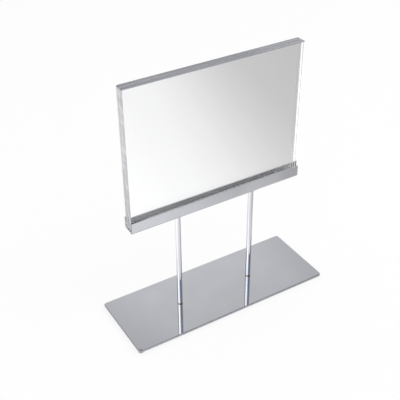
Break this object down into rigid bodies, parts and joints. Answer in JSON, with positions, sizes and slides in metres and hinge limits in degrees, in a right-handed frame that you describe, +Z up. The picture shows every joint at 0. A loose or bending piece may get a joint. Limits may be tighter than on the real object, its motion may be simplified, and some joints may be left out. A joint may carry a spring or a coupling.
{
  "type": "countertop sign holder",
  "caption": "Countertop sign holder: clear acrylic sheets standing in a chromed U-channel on slim round stems above a flat rectangular base plate.",
  "frame": {"origin": "under the middle of the base plate, on the surface that the feet stand on", "axes": "+Z up along the stems, +X to the right along the sign's width, the sign's front faces -Y"},
  "size_m": [0.2094, 0.0762, 0.25],
  "materials": {
    "chrome": "polished chrome plate on steel, mirror bright",
    "clear_acrylic": "clear cast acrylic, polished faces, satin cut edges",
    "zinc_plated_steel": "bright zinc plate",
    "clear_rubber": "matt clear polyurethane"
  },
  "bodies": {
    "stand": {"base_plate": "chrome", "stem_left": "chrome", "stem_right": "chrome", "channel": "chrome", "base_screw_left": "zinc_plated_steel", "base_screw_right": "zinc_plated_steel", "channel_screw_left": "zinc_plated_steel", "channel_screw_right": "zinc_plated_steel", "foot_front_left": "clear_rubber", "foot_front_right": "clear_rubber", "foot_rear_left": "clear_rubber", "foot_rear_right": "clear_rubber"},
    "front_sheet": {"front_sheet": "clear_acrylic"},
    "rear_sheet": {"rear_sheet": "clear_acrylic"}
  },
  "joints": [
    {"name": "front_sheet_lift", "type": "slide", "parent": "stand", "child": "front_sheet", "axis": [0, 0, 1], "range_m": [0, 0.04]},
    {"name": "rear_sheet_lift", "type": "slide", "parent": "stand", "child": "rear_sheet", "axis": [0, 0, 1], "range_m": [0, 0.04]}
  ]
}
